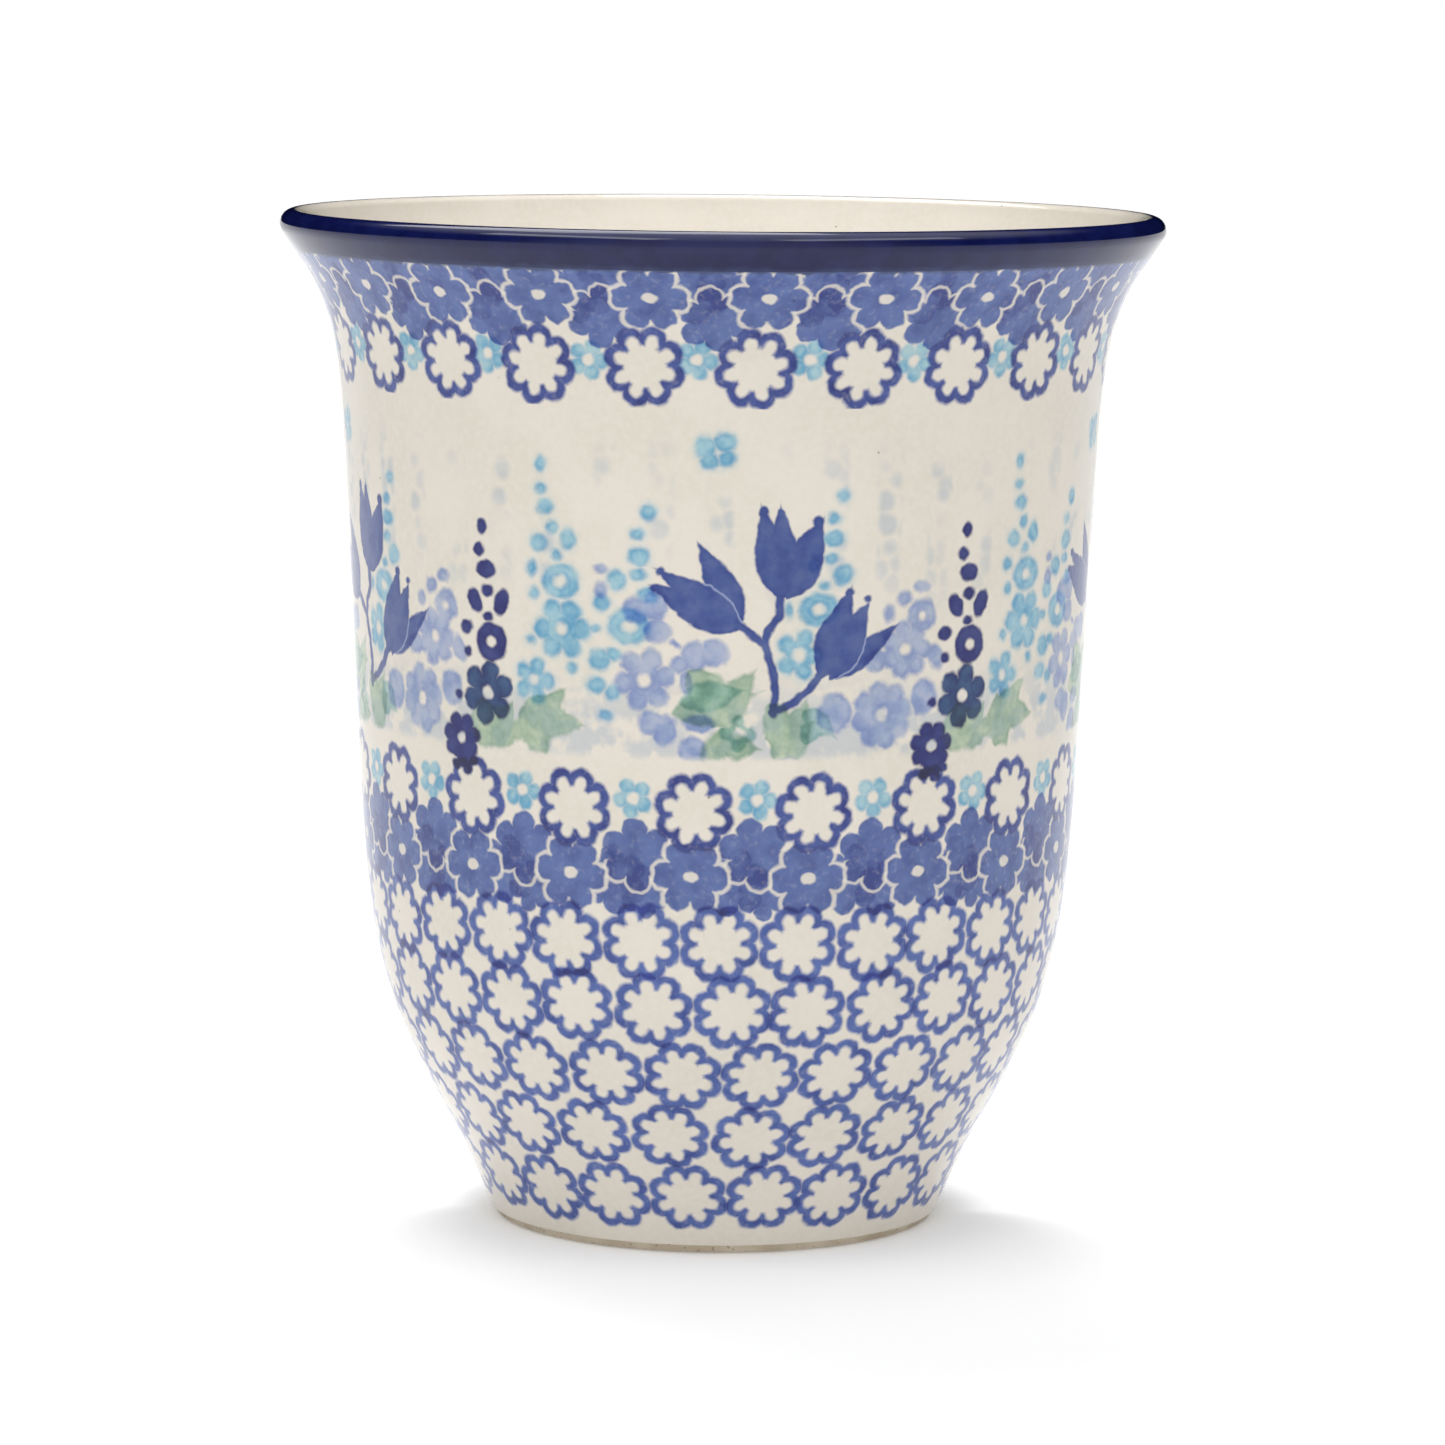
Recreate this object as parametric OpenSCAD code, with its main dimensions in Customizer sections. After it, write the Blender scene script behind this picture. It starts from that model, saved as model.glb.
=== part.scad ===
// Hand-decorated stoneware mug with a flared rim, a tapered foot and no handle.
// One fired clay body carries a thin glaze coat, and the coat is divided where the
// painted zones change: cobalt rim, upper border, garden, lower border, field of
// florets and plain foot. The inside and the recess under the foot are glazed too.
// The mug stands on z = 0 with its axis on +Z. All sizes are in millimetres.

/* [Size] */
// Height of the mug
mug_h = 120; // [110:1:130]
// Diameter across the flared rim
rim_d = 104.8; // [96:0.2:114]

/* [Clay] */
// Thickness of the wall below the flare, glaze included
wall_t = 4.2; // [3.4:0.1:5]
// Thickness of the rounded lip, glaze included
lip_t = 3.2; // [2.6:0.1:3.6]
// How far the lip leans out from upright, in degrees
lip_lean = 32; // [26:1:36]
// Thickness of the floor inside the foot ring
floor_t = 6; // [4.5:0.5:8]

/* [Foot] */
// Width of the foot ring, glaze included
ring_w = 4.2; // [3.4:0.1:5]
// Depth of the recess inside the foot ring
recess_h = 1.8; // [1.6:0.1:2.6]
// Height at which the outer glaze begins
glaze_line = 1; // [0.8:0.1:1.4]

/* [Glaze] */
// Thickness of the glaze coat
glaze_t = 0.35; // [0.25:0.05:0.45]

/* [Decoration] */
// Top of the plain foot band, in percent of the mug's height
foot_top = 2.5; // [2:0.1:3]
// Top of the field of florets, in percent
field_top = 36.2; // [35:0.1:38]
// Top of the lower border, in percent
lower_border_top = 49.6; // [48:0.1:51]
// Top of the garden, in percent
garden_top = 83.3; // [82:0.1:84]
// Top of the upper border, where the cobalt rim begins, in percent
upper_border_top = 96.3; // [95:0.1:96.5]

/* [Hidden] */
$fn = 180;

// Largest distance between two points of the turned outline
step = 2.5;
// Rounding of the foot ring's lower edges
edge_r = 0.5;
// Fillet between the foot ring and the recess
recess_fillet = 1.2;
// Length over which the wall thins towards the lip
thinning_h = 16;
// Height at which the inside wall turns into the rounded floor
bend_z = 19;

// Outside radius at a few heights of the mug in its standard size
standard_h = 120;
standard_rim_d = 104.8;
standard_outline = [
    [0, 26.4], [9, 30.4], [18, 35.1], [27, 39], [38, 41.4],
    [56, 42.9], [80, 44.1], [98, 45.1], [106, 46.2], [111.5, 48.2]
];

// The lip is an arc on this centre
lip_r = lip_t / 2;
lip_x = rim_d / 2 - lip_r;
lip_z = mug_h - lip_r;
lip_start_z = lip_z - lip_r * sin(lip_lean);
lip_start_x = lip_x + lip_r * cos(lip_lean);

// The outline in the chosen size, with its last knot on the lip
tall = mug_h / standard_h;
wide = rim_d / standard_rim_d;
knots = concat([for (p = standard_outline) [p[0] * tall, p[1] * wide]], [[lip_start_z, lip_start_x]]);
last = len(knots) - 1;

ring_r = knots[0][1] - ring_w;
floor_z = recess_h + floor_t;

function lerp(a, b, t) = a + (b - a) * t;
function percent(share) = mug_h * share / 100;
function ease(t) = t * t * (3 - 2 * t);

// Slope of the outline at a knot: the chord between its neighbours, and the lip's lean at the top
function knot_slope(i) =
    i == last ? tan(lip_lean) :
    (knots[i + 1][1] - knots[max(i - 1, 0)][1]) / (knots[i + 1][0] - knots[max(i - 1, 0)][0]);

function span_at(z, i = 0) = i >= last - 1 || z <= knots[i + 1][0] ? i : span_at(z, i + 1);

// Outside radius at a height: a cubic between each two knots
function outer_r(z) =
    let (i = span_at(z), h = knots[i + 1][0] - knots[i][0], t = (z - knots[i][0]) / h)
    knots[i][1] * (1 - ease(t)) + knots[i + 1][1] * ease(t)
    + h * t * (1 - t) * (knot_slope(i) * (1 - t) - knot_slope(i + 1) * t);

// Lean of the outer wall from upright at a height, in degrees
function lean(z) =
    z >= lip_start_z ? lip_lean :
    let (dz = 0.01) atan((outer_r(z + dz) - outer_r(z)) / dz);

// Point at a depth under the outer surface, measured square to it
function under(z, depth) = [outer_r(z) - depth * cos(lean(z)), z + depth * sin(lean(z))];

// Wall thickness seen from the outside point at height z
function wall_at(z) = lerp(wall_t, lip_t, ease(max(0, (z - lip_start_z + thinning_h) / thinning_h)));

// Heights from a to b in equal steps, both ends included
function heights(a, b) = let (n = ceil((b - a) / step)) [for (i = [0 : n]) lerp(a, b, i / n)];
function backwards(points) = [for (i = [len(points) - 1 : -1 : 0]) points[i]];

// Arc about a centre from angle a to b, counter-clockwise when b is larger
function arc(centre, r, a, b, n) =
    [for (i = [0 : n]) centre + r * [cos(lerp(a, b, i / n)), sin(lerp(a, b, i / n))]];

// Quadratic curve from p to q without p itself, drawn towards the corner c
function curve(p, c, q, n) =
    [for (i = [1 : n]) let (t = i / n) p * (1 - t) * (1 - t) + c * 2 * t * (1 - t) + q * t * t];

// Outer surface between two heights, at a depth under the glaze's face
function outer_line(a, b, depth) = [for (z = heights(a, b)) under(z, depth)];

// The rounded lip from outside to inside
function lip_line(depth) = arc([lip_x, lip_z], lip_r - depth, -lip_lean, 180 - lip_lean, 16);

// The inside wall from the lip down, then the rounded floor to the axis
function inside_line(depth) =
    let (
        bend = under(bend_z, wall_at(bend_z) - depth),
        floor_level = floor_z - depth,
        corner = [bend[0] - (bend[1] - floor_level) * tan(lean(bend_z)), floor_level],
        floor_edge = [corner[0] - (bend[1] - floor_level), floor_level]
    )
    concat(
        backwards([for (z = heights(bend_z, lip_start_z)) under(z, wall_at(z) - depth)]),
        curve(bend, corner, floor_edge, 10),
        [[0, floor_level]]
    );

// The recess under the foot from the ring to the axis
function recess_line(depth) = concat(
    arc([ring_r - recess_fillet, recess_h - recess_fillet], recess_fillet + depth, 0, 90, 6),
    [[0, recess_h + depth]]
);

// A turned ring between the outer surface and the clay, between two heights
module turned_coat(a, b) {
    rotate_extrude()
        polygon(concat(outer_line(a, b, 0), backwards(outer_line(a, b, glaze_t))));
}

// The clay: foot ring, wall, lip, inside and floor in one turned outline
module stoneware_body() {
    foot_x = outer_r(edge_r) - glaze_t;
    ring_x = ring_r + glaze_t;
    color("tan")
    rotate_extrude()
        polygon(concat(
            arc([foot_x - edge_r, edge_r], edge_r, -90, 0, 4),
            outer_line(glaze_line, percent(foot_top), glaze_t),
            outer_line(percent(foot_top), percent(field_top), glaze_t),
            outer_line(percent(field_top), percent(lower_border_top), glaze_t),
            outer_line(percent(lower_border_top), percent(garden_top), glaze_t),
            outer_line(percent(garden_top), percent(upper_border_top), glaze_t),
            outer_line(percent(upper_border_top), lip_start_z, glaze_t),
            lip_line(glaze_t),
            inside_line(glaze_t),
            backwards(recess_line(glaze_t)),
            arc([ring_x + edge_r, edge_r], edge_r, 180, 270, 4)
        ));
}

// Cobalt band over the lip
module rim_band() {
    color("midnightblue")
    rotate_extrude()
        polygon(concat(
            outer_line(percent(upper_border_top), lip_start_z, 0),
            lip_line(0),
            backwards(lip_line(glaze_t)),
            backwards(outer_line(percent(upper_border_top), lip_start_z, glaze_t))
        ));
}

// Blue flowers over a row of white florets
module upper_border() {
    color("slateblue")
        turned_coat(percent(garden_top), percent(upper_border_top));
}

// Garden flowers on cream
module garden_band() {
    color("linen")
        turned_coat(percent(lower_border_top), percent(garden_top));
}

// Row of white florets over blue flowers
module lower_border() {
    color("royalblue")
        turned_coat(percent(field_top), percent(lower_border_top));
}

// Rows of floret outlines on cream
module floret_field() {
    color("lightsteelblue")
        turned_coat(percent(foot_top), percent(field_top));
}

// Plain cream band above the bare ring
module foot_band() {
    color("antiquewhite")
        turned_coat(glaze_line, percent(foot_top));
}

// Cream glaze inside the cup
module inside_glaze() {
    color("ivory")
    rotate_extrude()
        polygon(concat(inside_line(0), backwards(inside_line(glaze_t))));
}

// Cream glaze in the recess under the foot
module base_glaze() {
    color("cornsilk")
    rotate_extrude()
        polygon(concat(recess_line(0), backwards(recess_line(glaze_t))));
}

stoneware_body();
rim_band();
upper_border();
garden_band();
lower_border();
floret_field();
foot_band();
inside_glaze();
base_glaze();
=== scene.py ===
"""Looks of the flared stoneware mug: its glaze coats, painted zones, light, floor and camera.

Angles go round the mug in degrees: 0 is the front, -Y, and + is to the right. Heights and lengths are in
millimetres of the standard mug, and MM turns them into metres of the frame.
"""

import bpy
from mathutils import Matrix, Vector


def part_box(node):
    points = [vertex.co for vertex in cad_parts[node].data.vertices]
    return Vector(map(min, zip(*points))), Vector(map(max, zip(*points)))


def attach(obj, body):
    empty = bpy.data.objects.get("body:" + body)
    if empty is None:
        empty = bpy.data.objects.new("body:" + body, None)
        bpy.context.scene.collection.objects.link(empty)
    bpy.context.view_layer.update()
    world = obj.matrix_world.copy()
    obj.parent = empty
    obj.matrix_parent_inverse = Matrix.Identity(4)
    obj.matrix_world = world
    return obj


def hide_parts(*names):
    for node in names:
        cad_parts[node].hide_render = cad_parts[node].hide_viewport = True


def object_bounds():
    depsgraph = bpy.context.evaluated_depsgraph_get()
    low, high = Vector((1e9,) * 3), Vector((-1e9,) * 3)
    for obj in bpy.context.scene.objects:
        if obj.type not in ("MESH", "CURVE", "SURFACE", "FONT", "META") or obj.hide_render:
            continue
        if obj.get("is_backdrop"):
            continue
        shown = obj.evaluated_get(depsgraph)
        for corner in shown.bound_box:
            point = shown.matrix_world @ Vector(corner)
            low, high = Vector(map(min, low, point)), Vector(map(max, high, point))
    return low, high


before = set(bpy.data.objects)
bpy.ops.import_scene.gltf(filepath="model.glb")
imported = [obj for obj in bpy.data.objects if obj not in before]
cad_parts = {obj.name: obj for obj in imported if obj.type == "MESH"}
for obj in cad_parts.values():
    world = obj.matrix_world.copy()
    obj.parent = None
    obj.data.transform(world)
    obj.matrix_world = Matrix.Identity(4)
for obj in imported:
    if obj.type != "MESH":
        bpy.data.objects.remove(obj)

import inspect
import math

import bmesh
import bpy
from mathutils import Matrix, Vector

CAD_LOW, CAD_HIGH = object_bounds()

# ---------------------------------------------------------------- sizes

STANDARD_HEIGHT = 120
MM = (CAD_HIGH.z - CAD_LOW.z) / STANDARD_HEIGHT
RIM_R = (CAD_HIGH.x - CAD_LOW.x) / 2 / MM

# Height and outside radius at a few places of the wall, the same as in the part's own source
OUTLINE = [(0, 26.4), (9, 30.4), (18, 35.1), (27, 39), (38, 41.4), (56, 42.9), (80, 44.1), (98, 45.1),
           (106, 46.2), (111.5, 48.2)]
GLAZE = 0.35
WALL = 4.2
LIP_R = 1.6
LIP_LEAN = math.radians(32)
THINNING = 16
BEND_Z = 19
RECESS_FILLET = 1.2

LIP_X = RIM_R - LIP_R
LIP_Z = STANDARD_HEIGHT - LIP_R
LIP_START = (LIP_Z - LIP_R * math.sin(LIP_LEAN), LIP_X + LIP_R * math.cos(LIP_LEAN))
KNOTS = OUTLINE + [LIP_START]


def foot_of(node):
    """Height of a node's lowest point."""
    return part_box(node)[0].z / MM


GLAZE_LINE = foot_of("foot_band")
FIELD_Z = foot_of("floret_field")
LOWER_Z = foot_of("lower_border")
GARDEN_Z = foot_of("garden_band")
UPPER_Z = foot_of("upper_border")
RIM_Z = foot_of("rim_band")
FLOOR_Z = foot_of("inside_glaze") + GLAZE
RING_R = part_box("base_glaze")[1].x / MM - GLAZE
RECESS_H = foot_of("base_glaze") + RECESS_FILLET

# ---------------------------------------------------------------- the turned outline


def ease(t):
    return t * t * (3 - 2 * t)


def knot_slope(i):
    """Slope of the wall at a knot, as radius gained for each millimetre of height."""
    if i == len(KNOTS) - 1:
        return math.tan(LIP_LEAN)
    low, high = KNOTS[max(i - 1, 0)], KNOTS[i + 1]
    return (high[1] - low[1]) / (high[0] - low[0])


def outer_r(z):
    """Outside radius at a height."""
    i = next((k for k in range(len(KNOTS) - 2) if z <= KNOTS[k + 1][0]), len(KNOTS) - 2)
    (z0, r0), (z1, r1) = KNOTS[i], KNOTS[i + 1]
    h, t = z1 - z0, (z - z0) / (z1 - z0)
    bend = h * t * (1 - t) * (knot_slope(i) * (1 - t) - knot_slope(i + 1) * t)
    return r0 * (1 - ease(t)) + r1 * ease(t) + bend


def lean(z):
    """Lean of the wall from upright, in radians."""
    if z >= LIP_START[0]:
        return LIP_LEAN
    step = 0.01
    return math.atan((outer_r(z + step) - outer_r(z)) / step)


def under(z, depth):
    """Point at a depth under the outer surface, as (radius, height)."""
    return outer_r(z) - depth * math.cos(lean(z)), z + depth * math.sin(lean(z))


def wall_at(z):
    share = max(0, (z - LIP_START[0] + THINNING) / THINNING)
    return WALL + (2 * LIP_R - WALL) * ease(share)


def steps(a, b, size):
    """Values from a to b, both included, no further apart than size."""
    count = math.ceil(abs(b - a) / size)
    return [a + (b - a) * i / count for i in range(count + 1)]


def outer_line(a, b, depth=0, size=0.5):
    return [under(z, depth) for z in steps(a, b, size)]


def arc(x, z, r, a, b, count):
    """Arc about (x, z) from angle a to b, in radians."""
    angles = [a + (b - a) * i / count for i in range(count + 1)]
    return [(x + r * math.cos(angle), z + r * math.sin(angle)) for angle in angles]


def lip_line(depth=0, count=40):
    return arc(LIP_X, LIP_Z, LIP_R - depth, -LIP_LEAN, math.pi - LIP_LEAN, count)


def inside_line(depth=0, size=0.6, count=28):
    """The inside wall from the lip down, then the rounded floor to the axis."""
    bend_x, bend_z = under(BEND_Z, wall_at(BEND_Z) - depth)
    level = FLOOR_Z - depth
    drop = bend_z - level
    corner_x = bend_x - drop * math.tan(lean(BEND_Z))
    wall = [under(z, wall_at(z) - depth) for z in steps(LIP_START[0], BEND_Z, size)]
    turn = []
    for i in range(1, count + 1):
        t = i / count
        x = bend_x * (1 - t) ** 2 + corner_x * 2 * t * (1 - t) + (corner_x - drop) * t * t
        turn.append((x, bend_z * (1 - t) ** 2 + level * (1 - (1 - t) ** 2)))
    flat = [(x, level) for x in steps(corner_x - drop, 0, 2.5)[1:]]
    return wall + turn + flat


def recess_line(depth=0):
    """The recess under the foot from the ring to the axis."""
    x, z = RING_R - RECESS_FILLET, RECESS_H - RECESS_FILLET
    round_in = arc(x, z, RECESS_FILLET + depth, 0, math.pi / 2, 10)
    return round_in + [(r, RECESS_H + depth) for r in steps(x, 0, 3)[1:]]


# ---------------------------------------------------------------- turned pieces

SEGMENTS = 240


def turned_piece(name, face, back, rows):
    """A closed ring turned from its glazed face and the back that lies on the clay, both as (radius, height).

    Its map holds the face in equal sectors, one row of the map each, and the hidden back in a strip above."""
    outline = face + back[::-1]
    sides = [(i, (i + 1) % len(outline)) for i in range(len(outline))]
    if face[-1][0] == back[-1][0] == 0:
        # A side on the axis would sweep no surface
        del sides[len(face) - 1]
    bm = bmesh.new()
    place = bm.verts.layers.int.new("place")
    verts = [bm.verts.new((0, -r * MM, z * MM)) for r, z in outline]
    for i, vert in enumerate(verts):
        vert[place] = i
    edges = [bm.edges.new((verts[i], verts[j])) for i, j in sides]
    bmesh.ops.spin(bm, geom=verts + edges, axis=(0, 0, 1), cent=(0, 0, 0), angle=math.tau, steps=SEGMENTS,
                   use_merge=True)
    bmesh.ops.remove_doubles(bm, verts=bm.verts, dist=1e-6 * MM)
    bmesh.ops.recalc_face_normals(bm, faces=bm.faces)
    lay_out(bm, place, len(face), len(outline), rows)
    mesh = bpy.data.meshes.new(name)
    bm.to_mesh(mesh)
    bm.free()
    piece = bpy.data.objects.new(name, mesh)
    bpy.context.scene.collection.objects.link(piece)
    return piece


# Shares of the map's height for the face's rows and for the hidden back, and of a row for the gap over it
FACE_SHARE = 0.97
BACK_SHARE = 0.02
ROW_GAP = 0.012


def lay_out(bm, place, face_points, points, rows):
    """Writes the piece's map, and marks the two rims of its face as sharp."""
    uv = bm.loops.layers.uv.new("OFBake")
    for face in bm.faces:
        face.smooth = True
        middle = face.calc_center_median()
        turn = math.atan2(middle.x, -middle.y) % math.tau
        places = sorted({loop.vert[place] for loop in face.loops})
        shown = places[-1] < face_points
        row = int(turn / math.tau * rows)
        for loop in face.loops:
            co, i = loop.vert.co, loop.vert[place]
            near = turn
            if math.hypot(co.x, co.y) > MM * 1e-3:
                near = math.atan2(co.x, -co.y)
                near += math.tau * round((turn - near) / math.tau)
            if shown:
                along = i / (face_points - 1)
                across = near / math.tau * rows - row
                loop[uv].uv = (across, (row + along * (1 - ROW_GAP)) / rows * FACE_SHARE)
            else:
                hidden = points - face_points + 1
                step = (i - face_points + 1) % points if i or places[-1] < points - 1 else hidden
                loop[uv].uv = (near / math.tau, 1 - BACK_SHARE + BACK_SHARE * min(step, hidden) / hidden)
    for edge in bm.edges:
        ends = {vert[place] for vert in edge.verts}
        if ends in ({0}, {face_points - 1}):
            edge.smooth = False


# ---------------------------------------------------------------- shader arithmetic


def arithmetic(operation, turned_round=False):
    def act(self, *others):
        terms = (*others, self) if turned_round else (self, *others)
        return self.board.math(operation, *terms)

    return act


class Num:
    """A number that a material works out at each point. Sums and products of it add Math nodes."""

    def __init__(self, board, socket):
        self.board, self.socket = board, socket

    __add__ = arithmetic("ADD")
    __mul__ = arithmetic("MULTIPLY")
    __sub__ = arithmetic("SUBTRACT")
    __rsub__ = arithmetic("SUBTRACT", turned_round=True)
    __truediv__ = arithmetic("DIVIDE")
    __mod__ = arithmetic("FLOORED_MODULO")
    times_plus = arithmetic("MULTIPLY_ADD")
    atan2 = arithmetic("ARCTAN2")
    fold = arithmetic("PINGPONG")
    above = arithmetic("GREATER_THAN")
    min = arithmetic("MINIMUM")
    max = arithmetic("MAXIMUM")
    floor = arithmetic("FLOOR")
    sqrt = arithmetic("SQRT")
    cos = arithmetic("COSINE")
    sin = arithmetic("SINE")
    abs = arithmetic("ABSOLUTE")


def linear(red, green, blue):
    """A colour as a screen shows it, 0 to 255, turned into light."""
    parts = [c / 255 for c in (red, green, blue)]
    return tuple(c / 12.92 if c < 0.04045 else ((c + 0.055) / 1.055) ** 2.4 for c in parts) + (1,)


class Board:
    """A node tree under work. Its nodes are made in the order in which they are worked out."""

    def __init__(self, tree):
        self.tree = tree

    def feed(self, slot, value):
        value = value.socket if isinstance(value, Num) else value
        if isinstance(value, bpy.types.NodeSocket):
            self.tree.links.new(value, slot)
        elif value is not None:
            slot.default_value = value

    def node(self, kind, *inputs, **settings):
        node = self.tree.nodes.new("ShaderNode" + kind)
        for key, value in settings.items():
            setattr(node, key, value)
        for slot, value in zip(node.inputs, inputs):
            self.feed(slot, value)
        return node

    def math(self, operation, *terms):
        return Num(self, self.node("Math", *terms, operation=operation).outputs[0])

    def dot(self, a, b):
        return Num(self, self.node("VectorMath", a, b, operation="DOT_PRODUCT").outputs["Value"])

    def hypot(self, a, b):
        return a.times_plus(a, b * b).sqrt()

    def ramp(self, value, low, high, to_low=0, to_high=1):
        node = self.node("MapRange", value, low, high, to_low, to_high, interpolation_type="SMOOTHSTEP")
        return Num(self, node.outputs[0])

    def inside(self, distance, edge=0.3):
        """1 where a distance is negative and 0 outside, with a soft edge."""
        return self.ramp(distance, edge / 2, -edge / 2)

    def blend(self, a, b, share, kind="MIX"):
        node = self.node("Mix", data_type="RGBA", blend_type=kind, clamp_factor=True)
        for index, value in ((0, share), (6, a), (7, b)):
            self.feed(node.inputs[index], value)
        return node.outputs[2]

    def ink(self, colour, tint, share):
        """Lays a see-through ink over a colour."""
        return self.blend(colour, tint, share, "MULTIPLY")


def tool(*vectors):
    """Makes a node group of a function. Its inputs named here are vectors, the others numbers, and it gives
    numbers."""

    def make(work):
        names = list(inspect.signature(work).parameters)[1:]
        tree = bpy.data.node_groups.new(work.__name__.replace("_", " "), "ShaderNodeTree")
        for name in names:
            kind = "NodeSocketVector" if name in vectors else "NodeSocketFloat"
            tree.interface.new_socket(name=name, in_out="INPUT", socket_type=kind)
        board = Board(tree)
        given = tree.nodes.new("NodeGroupInput").outputs
        results = work(board, *[s if n in vectors else Num(board, s) for n, s in zip(names, given)])
        results = results if isinstance(results, tuple) else (results,)
        for i in range(len(results)):
            tree.interface.new_socket(name=f"result {i + 1}", in_out="OUTPUT", socket_type="NodeSocketFloat")
        for slot, result in zip(tree.nodes.new("NodeGroupOutput").inputs, results):
            board.feed(slot, result)

        def use(board, *values):
            node = board.node("Group", *values, node_tree=tree)
            outputs = [Num(board, socket) for socket in node.outputs]
            return outputs if len(outputs) > 1 else outputs[0]

        return use

    return make


class Paint(Board):
    """A glazed material under work."""

    def __init__(self, name):
        self.material = bpy.data.materials.new(name)
        self.material.use_nodes = True
        super().__init__(self.material.node_tree)
        self.shader = self.tree.nodes["Principled BSDF"]
        place = self.node("TexCoord").outputs["Object"]
        self.place = self.node("VectorMath", place, None, None, 1 / MM, operation="SCALE").outputs[0]
        x, y, z = [Num(self, s) for s in self.node("SeparateXYZ", self.place).outputs]
        self.radius = self.hypot(x, y)
        self.turn = x.atan2(y * -1) * math.degrees(1)
        self.height = z

    def noise(self, size, detail=2, shift=0):
        """Soft noise round 0.5 with patches of about this size."""
        place = self.place
        if shift:
            place = self.node("VectorMath", place, (shift, shift, shift), operation="ADD").outputs[0]
        return Num(self, self.node("TexNoise", place, None, 1 / size, detail, 0.5).outputs[0])

    def wander(self, size, reach):
        """Three noises from -reach to reach, to shake a point a little."""
        colour = self.node("TexNoise", self.place, None, 1 / size, 1, 0.5).outputs["Color"]
        parts = self.node("SeparateColor", colour).outputs
        return [Num(self, part).times_plus(2 * reach, -reach) for part in parts]


# ---------------------------------------------------------------- colours

CREAM = (229, 221, 208)
# Light that the glaze's gloss adds over every colour
GLOSS = 0.026


def ink_of(red, green, blue):
    """The ink that makes glazed cream look like this colour."""
    seen, ground = linear(red, green, blue), linear(*CREAM)
    return tuple(min(1, max(0.004, (s - GLOSS) / (g - GLOSS))) for s, g in zip(seen[:3], ground)) + (1,)


# A light and a deep tone of each ink
BLUE_WASH = ink_of(98, 116, 168), ink_of(62, 72, 132)
LINE_BLUE = ink_of(78, 94, 156), ink_of(46, 54, 118)
FIELD_BLUE = ink_of(92, 112, 172), ink_of(62, 76, 140)
SKY = ink_of(164, 200, 212), ink_of(106, 162, 192)
TULIP = ink_of(76, 94, 150), ink_of(60, 76, 138)
NAVY = ink_of(54, 64, 124), ink_of(42, 48, 106)
DARK_TEAL = ink_of(60, 88, 128), ink_of(42, 58, 104)
LAVENDER = ink_of(168, 178, 202), ink_of(136, 150, 190)
GREEN = ink_of(180, 196, 170), ink_of(144, 168, 144)
TEAL = ink_of(178, 200, 190), ink_of(144, 176, 166)
COBALT = linear(20, 27, 78)
COBALT_DEEP = linear(13, 18, 66)
# The cobalt's paler, greyer lower edge: thin glaze there, with a painted reflection of the floor
COBALT_THIN = linear(62, 74, 114)

# ---------------------------------------------------------------- stamps

# A floret: where its scallops' middles lie, how round they are and the disc that joins them, then its bare
# rays' ends, their half width and the bare middle
SCALLOP_OUT, SCALLOP_R, SCALLOP_FILL = 3.1, 1.68, 3.2
RAY_END, RAY_HALF = 2.95, 0.72
FLORET_MIDDLE = 2.45
# A blue flower: where its lobes' middles lie, how round they are, where they are cut off, and its middle
LOBE_OUT, LOBE_R, LOBE_END, FLOWER_MIDDLE = 3, 1.5, 4.25, 3
# A flower behind: where its petals' middles lie, how round they are, and its middle
BACK_OUT, BACK_R, BACK_MIDDLE = 2.8, 1.55, 2.9
# A small flower: the same, and the bare eye, which a blue flower has too
POSY_OUT, POSY_R, POSY_MIDDLE = 1.45, 0.95, 1.1
EYE_R = 0.68
# The most that a stamp is set aside, up or down
STRAY = 0.25


@tool()
def stamp(board, turn, radius, height, count, first, level, rise, seed, half, side):
    """Where a point lies in the nearest stamp of a row round the mug, across and up, with a random number."""
    place = (turn - first) * count / 360
    number = (place + half).floor() + side
    ticket = (number % count).times_plus(1, seed * 1000)
    chance = board.node("TexWhiteNoise", None, ticket, noise_dimensions="1D")
    luck = [Num(board, s) for s in board.node("SeparateColor", chance.outputs["Color"]).outputs]
    pitch = radius / count * math.tau
    across = (place - number).times_plus(pitch, luck[0].times_plus(2 * STRAY, -STRAY))
    up = (height - level).times_plus(rise, luck[1].times_plus(2 * STRAY, -STRAY))
    return across, up, luck[2]


@tool()
def fold_petals(board, across, up, turned, share):
    """A point of a flower folded into one petal: how far out along the petal it lies, and how far in all."""
    far = board.hypot(across, up)
    return (up.atan2(across) + turned).fold(share).cos() * far, far


@tool()
def petal_ring(board, out, far, ring):
    """How far a folded point lies from the petal's middle, which is this far from the flower's middle."""
    return out.times_plus(-2, ring).times_plus(ring, far * far).max(0).sqrt()


@tool()
def floret_row(board, turn, radius, height, count, first, level, rise, seed):
    """A row of white florets in scalloped outlines: the line, its sum where two overlap, and the inside."""
    line = total = within = None
    for side in (0, 1):
        across, up, luck = stamp(board, turn, radius, height, count, first, level, rise, seed, 0, side)
        out, far = fold_petals(board, across, up, luck.times_plus(0.4, 0.2), math.pi / 8)
        rim = (petal_ring(board, out, far, SCALLOP_OUT) - SCALLOP_R).min(far - SCALLOP_FILL)
        past = (out - RAY_END).max(0)
        rays = (past * past - out * out + far * far).max(0).sqrt() - RAY_HALF
        bare = rays.min(far - FLORET_MIDDLE)
        ink = board.inside(rim.max(bare * -1), 0.55)
        white = board.inside(rim + 0.2, 0.3)
        line = line.max(ink) if line else ink
        total = total + ink if total else ink
        within = within.max(white) if within else white
    return line, total, within


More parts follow.
